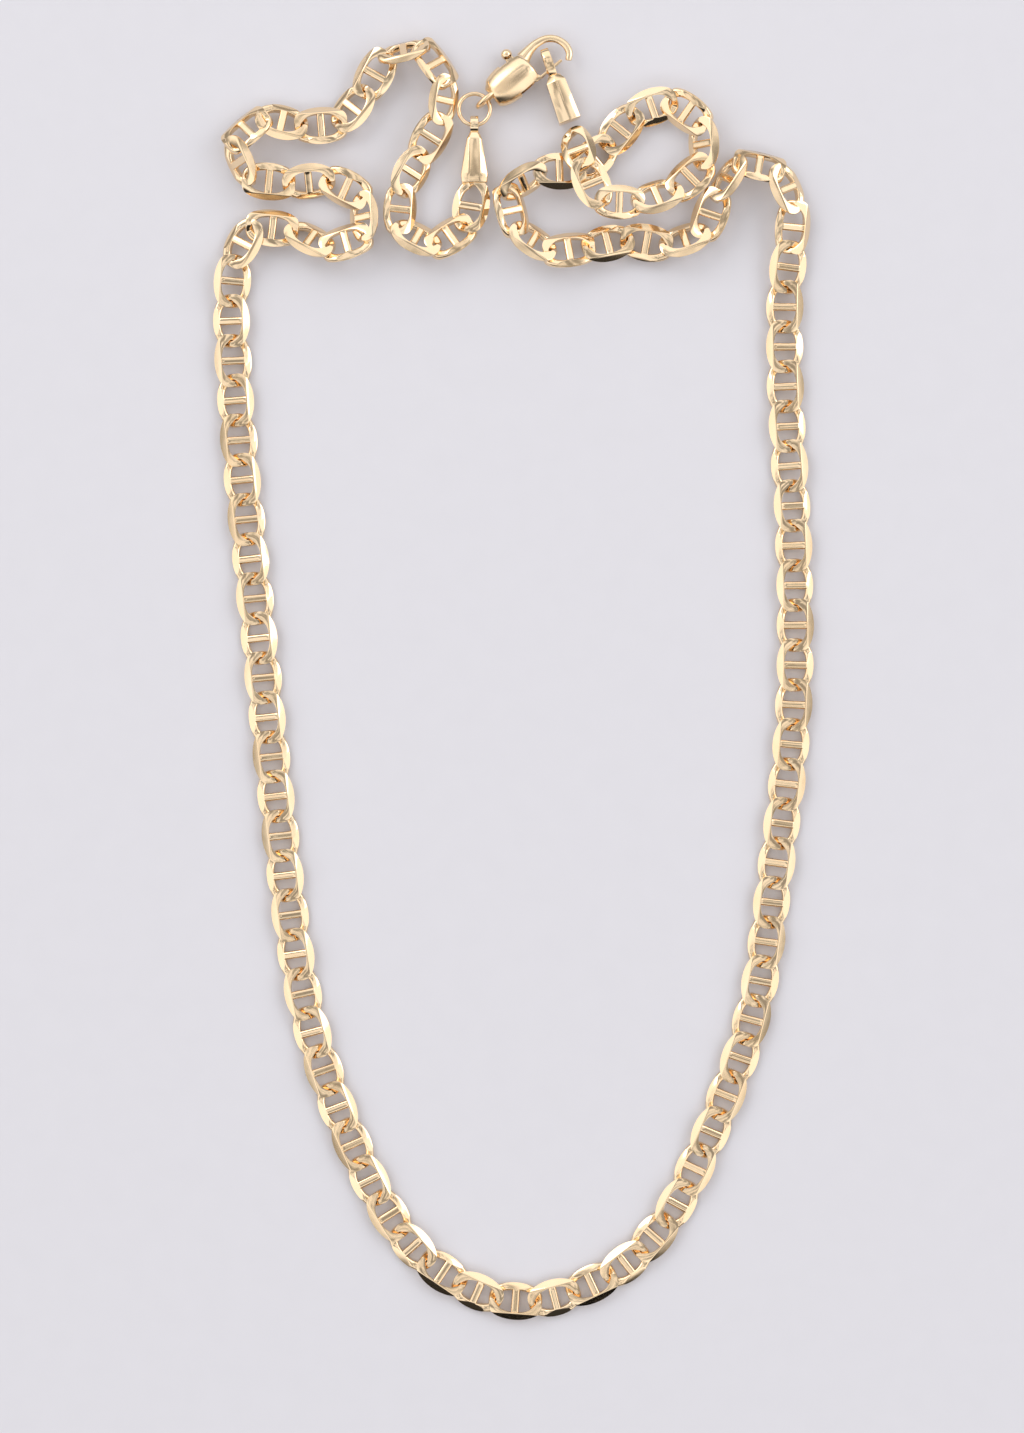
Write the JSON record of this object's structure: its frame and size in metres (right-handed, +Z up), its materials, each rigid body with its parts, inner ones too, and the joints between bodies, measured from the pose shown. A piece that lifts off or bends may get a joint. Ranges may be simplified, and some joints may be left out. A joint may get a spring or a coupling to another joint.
{
  "type": "chain necklace",
  "caption": "Flat mariner chain necklace with a lobster clasp, end caps and jump ring, lying in a long loop with both ends gathered.",
  "frame": {"origin": "middle of the bounding box, on the surface that the necklace lies on", "axes": "+Y from the bottom of the loop towards the clasp, +Z up"},
  "size_m": [0.0704, 0.1506, 0.0046],
  "materials": {
    "gold": "polished gold",
    "spring_steel": "plain wire"
  },
  "bodies": {
    "link_pair_01": {"link_pair_01": "gold", "end_cap_left": "gold"},
    "link_pair_02": {"link_pair_02": "gold"},
    "link_pair_03": {"link_pair_03": "gold"},
    "link_pair_04": {"link_pair_04": "gold"},
    "link_pair_05": {"link_pair_05": "gold"},
    "link_pair_06": {"link_pair_06": "gold"},
    "link_pair_07": {"link_pair_07": "gold"},
    "link_pair_08": {"link_pair_08": "gold"},
    "link_pair_09": {"link_pair_09": "gold"},
    "link_pair_10": {"link_pair_10": "gold"},
    "link_pair_11": {"link_pair_11": "gold"},
    "link_pair_12": {"link_pair_12": "gold"},
    "link_pair_13": {"link_pair_13": "gold"},
    "link_pair_14": {"link_pair_14": "gold"},
    "link_pair_15": {"link_pair_15": "gold"},
    "link_pair_16": {"link_pair_16": "gold"},
    "link_pair_17": {"link_pair_17": "gold"},
    "link_pair_18": {"link_pair_18": "gold"},
    "link_pair_19": {"link_pair_19": "gold"},
    "link_pair_20": {"link_pair_20": "gold"},
    "link_pair_21": {"link_pair_21": "gold"},
    "link_pair_22": {"link_pair_22": "gold"},
    "link_pair_23": {"link_pair_23": "gold"},
    "link_pair_24": {"link_pair_24": "gold"},
    "link_pair_25": {"link_pair_25": "gold"},
    "link_pair_26": {"link_pair_26": "gold"},
    "link_pair_27": {"link_pair_27": "gold"},
    "link_pair_28": {"link_pair_28": "gold"},
    "link_pair_29": {"link_pair_29": "gold"},
    "link_pair_30": {"link_pair_30": "gold"},
    "link_pair_31": {"link_pair_31": "gold"},
    "link_pair_32": {"link_pair_32": "gold"},
    "link_pair_33": {"link_pair_33": "gold"},
    "link_pair_34": {"link_pair_34": "gold"},
    "link_pair_35": {"link_pair_35": "gold"},
    "link_pair_36": {"link_pair_36": "gold"},
    "link_pair_37": {"link_pair_37": "gold"},
    "link_pair_38": {"link_pair_38": "gold"},
    "link_pair_39": {"link_pair_39": "gold"},
    "link_pair_40": {"link_pair_40": "gold"},
    "link_pair_41": {"link_pair_41": "gold"},
    "link_pair_42": {"link_pair_42": "gold"},
    "link_pair_43": {"link_pair_43": "gold"},
    "link_pair_44": {"link_pair_44": "gold"},
    "link_pair_45": {"link_pair_45": "gold"},
    "link_pair_46": {"link_pair_46": "gold"},
    "link_pair_47": {"link_pair_47": "gold"},
    "link_pair_48": {"link_pair_48": "gold"},
    "link_pair_49": {"link_pair_49": "gold"},
    "link_pair_50": {"link_pair_50": "gold"},
    "link_pair_51": {"link_pair_51": "gold"},
    "link_pair_52": {"link_pair_52": "gold"},
    "jump_ring": {"jump_ring": "gold"},
    "clasp_body": {"clasp_body": "gold", "trigger_pivot_pin": "gold", "trigger_spring": "spring_steel"},
    "clasp_trigger": {"clasp_trigger": "gold"},
    "end_cap_right": {"end_cap_right": "gold"}
  },
  "joints": [
    {"name": "jump_ring_tilt", "type": "hinge", "parent": "link_pair_01", "child": "jump_ring", "pos_m": [-0.00455, 0.06476, 0.0015], "axis": [1, 0, 0], "range_deg": [-25, 25]},
    {"name": "clasp_swing", "type": "hinge", "parent": "jump_ring", "child": "clasp_body", "pos_m": [-0.00312, 0.06783, 0.0015], "axis": [0, 0, 1], "range_deg": [-4, 25]},
    {"name": "trigger_pivot", "type": "hinge", "parent": "clasp_body", "child": "clasp_trigger", "pos_m": [0.00073, 0.0708, 0.0015], "axis": [0, 0, 1], "range_deg": [0, 20], "stiffness_Nm_per_rad": 0.004, "springref_deg": -17.19},
    {"name": "end_cap_right_swing", "type": "hinge", "parent": "clasp_body", "child": "end_cap_right", "pos_m": [0.0044, 0.0714, 0.0015], "axis": [0, 0, 1], "range_deg": [-20, 20]},
    {"name": "link_pair_01_fold", "type": "hinge", "parent": "link_pair_02", "child": "link_pair_01", "pos_m": [-0.00927, 0.05043, 0.00196], "axis": [0.538, -0.7424, 0.3991], "range_deg": [-20, 20]},
    {"name": "link_pair_02_swing", "type": "hinge", "parent": "link_pair_03", "child": "link_pair_02", "pos_m": [-0.01313, 0.05721, 0.0018], "axis": [-0.3493, -0.0255, -0.9367], "range_deg": [-4, 1]},
    {"name": "link_pair_03_fold", "type": "hinge", "parent": "link_pair_04", "child": "link_pair_03", "pos_m": [-0.00851, 0.06532, 0.00198], "axis": [0.7821, -0.4356, -0.4456], "range_deg": [-8, 6]},
    {"name": "link_pair_04_swing", "type": "hinge", "parent": "link_pair_05", "child": "link_pair_04", "pos_m": [-0.01055, 0.07373, 0.00234], "axis": [-0.5472, -0.3819, -0.7448], "range_deg": [-13, 3]},
    {"name": "link_pair_05_fold", "type": "hinge", "parent": "link_pair_06", "child": "link_pair_05", "pos_m": [-0.01734, 0.06864, 0.00142], "axis": [0.8568, -0.4941, 0.1472], "range_deg": [-20, 20]},
    {"name": "link_pair_06_swing", "type": "hinge", "parent": "link_pair_07", "child": "link_pair_06", "pos_m": [-0.02486, 0.06458, 0.00144], "axis": [-0.0567, -0.1749, -0.983], "range_deg": [-13, 1]},
    {"name": "link_pair_07_fold", "type": "hinge", "parent": "link_pair_08", "child": "link_pair_07", "pos_m": [-0.03289, 0.06254, 0.00226], "axis": [0.5547, -0.5583, 0.617], "range_deg": [-1, 20]},
    {"name": "link_pair_08_swing", "type": "hinge", "parent": "link_pair_09", "child": "link_pair_08", "pos_m": [-0.0263, 0.05791, 0.0018], "axis": [-0.0499, 0.3532, -0.9342], "range_deg": [-13, 1]},
    {"name": "link_pair_09_fold", "type": "hinge", "parent": "link_pair_10", "child": "link_pair_09", "pos_m": [-0.01758, 0.0563, 0.00197], "axis": [-0.3795, -0.8128, -0.442], "range_deg": [-20, 20]},
    {"name": "link_pair_10_swing", "type": "hinge", "parent": "link_pair_11", "child": "link_pair_10", "pos_m": [-0.02179, 0.05026, 0.00192], "axis": [0.1928, -0.3762, -0.9063], "range_deg": [-13, 1]},
    {"name": "link_pair_11_fold", "type": "hinge", "parent": "link_pair_12", "child": "link_pair_11", "pos_m": [-0.03055, 0.05298, 0.00147], "axis": [0.1177, 0.9772, -0.1764], "range_deg": [-10, 20]},
    {"name": "link_pair_12_swing", "type": "hinge", "parent": "link_pair_13", "child": "link_pair_12", "pos_m": [-0.03314, 0.04423, 0.00093], "axis": [-0.007, 0.0695, -0.9976], "range_deg": [-13, 0]},
    {"name": "link_pair_13_fold", "type": "hinge", "parent": "link_pair_14", "child": "link_pair_13", "pos_m": [-0.03278, 0.03489, 0.00076], "axis": [0.9983, 0.0575, 0], "range_deg": [-20, 20]},
    {"name": "link_pair_14_swing", "type": "hinge", "parent": "link_pair_15", "child": "link_pair_14", "pos_m": [-0.03205, 0.02558, 0.00073], "axis": [-0.0002, 0.0029, -1], "range_deg": [-13, 0]},
    {"name": "link_pair_15_fold", "type": "hinge", "parent": "link_pair_16", "child": "link_pair_15", "pos_m": [-0.0311, 0.01628, 0.00071], "axis": [0.9944, 0.1057, 0], "range_deg": [-20, 20]},
    {"name": "link_pair_16_swing", "type": "hinge", "parent": "link_pair_17", "child": "link_pair_16", "pos_m": [-0.03009, 0.00699, 0.0007], "axis": [-0.0001, 0.0009, -1], "range_deg": [-13, 0]},
    {"name": "link_pair_17_fold", "type": "hinge", "parent": "link_pair_18", "child": "link_pair_17", "pos_m": [-0.02915, -0.0023, 0.0007], "axis": [0.995, 0.0999, 0], "range_deg": [-20, 20]},
    {"name": "link_pair_18_swing", "type": "hinge", "parent": "link_pair_19", "child": "link_pair_18", "pos_m": [-0.02815, -0.01159, 0.0007], "axis": [0, 0, -1], "range_deg": [-13, 0]},
    {"name": "link_pair_19_fold", "type": "hinge", "parent": "link_pair_20", "child": "link_pair_19", "pos_m": [-0.02707, -0.02088, 0.0007], "axis": [-0.9935, -0.1143, 0], "range_deg": [-20, 20]},
    {"name": "link_pair_20_swing", "type": "hinge", "parent": "link_pair_21", "child": "link_pair_20", "pos_m": [-0.0259, -0.03015, 0.0007], "axis": [0, 0, -1], "range_deg": [-13, 0]},
    {"name": "link_pair_21_fold", "type": "hinge", "parent": "link_pair_22", "child": "link_pair_21", "pos_m": [-0.02422, -0.03933, 0.0007], "axis": [0.979, 0.204, 0], "range_deg": [-20, 20]},
    {"name": "link_pair_22_swing", "type": "hinge", "parent": "link_pair_23", "child": "link_pair_22", "pos_m": [-0.02148, -0.04826, 0.0007], "axis": [0, 0, -1], "range_deg": [-13, 0]},
    {"name": "link_pair_23_fold", "type": "hinge", "parent": "link_pair_24", "child": "link_pair_23", "pos_m": [-0.01792, -0.0569, 0.0007], "axis": [0.9158, 0.4016, 0], "range_deg": [-20, 20]},
    {"name": "link_pair_24_swing", "type": "hinge", "parent": "link_pair_25", "child": "link_pair_24", "pos_m": [-0.01336, -0.06504, 0.0007], "axis": [0, 0, 1], "range_deg": [0, 13]},
    {"name": "link_pair_25_fold", "type": "hinge", "parent": "link_pair_26", "child": "link_pair_25", "pos_m": [-0.00637, -0.07114, 0.0007], "axis": [-0.5644, -0.8255, 0], "range_deg": [-20, 20]},
    {"name": "link_pair_26_swing", "type": "hinge", "parent": "link_pair_27", "child": "link_pair_26", "pos_m": [0.00258, -0.07336, 0.0007], "axis": [0, 0, 1], "range_deg": [0, 13]},
    {"name": "link_pair_28_swing", "type": "hinge", "parent": "link_pair_27", "child": "link_pair_28", "pos_m": [0.01133, -0.0702, 0.0007], "axis": [0, 0, -1], "range_deg": [0, 13]},
    {"name": "link_pair_29_fold", "type": "hinge", "parent": "link_pair_28", "child": "link_pair_29", "pos_m": [0.01807, -0.0638, 0.0007], "axis": [0.8738, -0.4862, 0], "range_deg": [-20, 20]},
    {"name": "link_pair_30_swing", "type": "hinge", "parent": "link_pair_29", "child": "link_pair_30", "pos_m": [0.02229, -0.05547, 0.0007], "axis": [0, 0, 1], "range_deg": [-13, 0]},
    {"name": "link_pair_31_fold", "type": "hinge", "parent": "link_pair_30", "child": "link_pair_31", "pos_m": [0.02585, -0.04683, 0.0007], "axis": [0.9455, -0.3255, 0], "range_deg": [-20, 20]},
    {"name": "link_pair_32_swing", "type": "hinge", "parent": "link_pair_31", "child": "link_pair_32", "pos_m": [0.02856, -0.03789, 0.0007], "axis": [0, 0, 1], "range_deg": [-13, 1]},
    {"name": "link_pair_33_fold", "type": "hinge", "parent": "link_pair_32", "child": "link_pair_33", "pos_m": [0.03005, -0.02867, 0.0007], "axis": [-0.9926, 0.121, 0], "range_deg": [-20, 20]},
    {"name": "link_pair_34_swing", "type": "hinge", "parent": "link_pair_33", "child": "link_pair_34", "pos_m": [0.03123, -0.0194, 0.0007], "axis": [0, 0, -1], "range_deg": [-1, 13]},
    {"name": "link_pair_35_fold", "type": "hinge", "parent": "link_pair_34", "child": "link_pair_35", "pos_m": [0.0324, -0.01013, 0.0007], "axis": [0.996, -0.0896, 0], "range_deg": [-20, 20]},
    {"name": "link_pair_36_swing", "type": "hinge", "parent": "link_pair_35", "child": "link_pair_36", "pos_m": [0.03306, -0.00081, 0.0007], "axis": [0, 0.0011, -1], "range_deg": [-1, 13]},
    {"name": "link_pair_37_fold", "type": "hinge", "parent": "link_pair_36", "child": "link_pair_37", "pos_m": [0.03311, 0.00853, 0.00071], "axis": [-0.9998, -0.0209, 0], "range_deg": [-20, 20]},
    {"name": "link_pair_38_swing", "type": "hinge", "parent": "link_pair_37", "child": "link_pair_38", "pos_m": [0.03286, 0.01787, 0.00074], "axis": [-0.0001, 0.0025, -1], "range_deg": [-2, 13]},
    {"name": "link_pair_39_fold", "type": "hinge", "parent": "link_pair_38", "child": "link_pair_39", "pos_m": [0.0323, 0.0272, 0.00076], "axis": [-0.9982, -0.0593, 0], "range_deg": [-20, 20]},
    {"name": "link_pair_40_swing", "type": "hinge", "parent": "link_pair_39", "child": "link_pair_40", "pos_m": [0.03187, 0.03653, 0.00082], "axis": [-0.0055, -0.0078, 1], "range_deg": [-13, 13]},
    {"name": "link_pair_41_fold", "type": "hinge", "parent": "link_pair_40", "child": "link_pair_41", "pos_m": [0.03192, 0.04587, 0.00097], "axis": [0.9919, -0.1263, 0.0101], "range_deg": [-20, 20]},
    {"name": "link_pair_42_swing", "type": "hinge", "parent": "link_pair_41", "child": "link_pair_42", "pos_m": [0.03293, 0.05511, 0.00189], "axis": [0.3819, 0.1185, 0.9166], "range_deg": [-2, 13]},
    {"name": "link_pair_43_fold", "type": "hinge", "parent": "link_pair_42", "child": "link_pair_43", "pos_m": [0.02645, 0.06034, 0.0023], "axis": [-0.6257, 0.4495, -0.6375], "range_deg": [-4, 3]},
    {"name": "link_pair_44_swing", "type": "hinge", "parent": "link_pair_43", "child": "link_pair_44", "pos_m": [0.02234, 0.05204, 0.00183], "axis": [0.171, -0.3237, -0.9306], "range_deg": [-13, 4]},
    {"name": "link_pair_45_fold", "type": "hinge", "parent": "link_pair_44", "child": "link_pair_45", "pos_m": [0.01334, 0.05147, 0.00112], "axis": [0.2245, -0.9745, 0.0068], "range_deg": [-20, 20]},
    {"name": "link_pair_46_swing", "type": "hinge", "parent": "link_pair_45", "child": "link_pair_46", "pos_m": [0.0042, 0.04981, 0.00198], "axis": [-0.301, -0.2871, -0.9094], "range_deg": [-4, 1]},
    {"name": "link_pair_47_fold", "type": "hinge", "parent": "link_pair_46", "child": "link_pair_47", "pos_m": [-0.00087, 0.05687, 0.0027], "axis": [-0.3554, 0.6884, 0.6323], "range_deg": [-3, 20]},
    {"name": "link_pair_48_swing", "type": "hinge", "parent": "link_pair_47", "child": "link_pair_48", "pos_m": [0.0077, 0.05936, 0.00143], "axis": [0.1065, 0.0041, 0.9943], "range_deg": [-2, 10]},
    {"name": "link_pair_49_fold", "type": "hinge", "parent": "link_pair_48", "child": "link_pair_49", "pos_m": [0.01404, 0.06612, 0.00148], "axis": [0.3383, -0.9218, -0.1892], "range_deg": [-20, 1]},
    {"name": "link_pair_50_swing", "type": "hinge", "parent": "link_pair_49", "child": "link_pair_50", "pos_m": [0.02217, 0.06483, 0.00208], "axis": [0.5172, 0.0285, -0.8554], "range_deg": [-2, 3]},
    {"name": "link_pair_51_fold", "type": "hinge", "parent": "link_pair_50", "child": "link_pair_51", "pos_m": [0.01902, 0.05699, 0.00226], "axis": [-0.3346, 0.9018, -0.2735], "range_deg": [-1, 20]},
    {"name": "link_pair_52_swing", "type": "hinge", "parent": "link_pair_51", "child": "link_pair_52", "pos_m": [0.01008, 0.05549, 0.00388], "axis": [-0.0177, 0.0395, 0.9991], "range_deg": [-3, 4]}
  ]
}
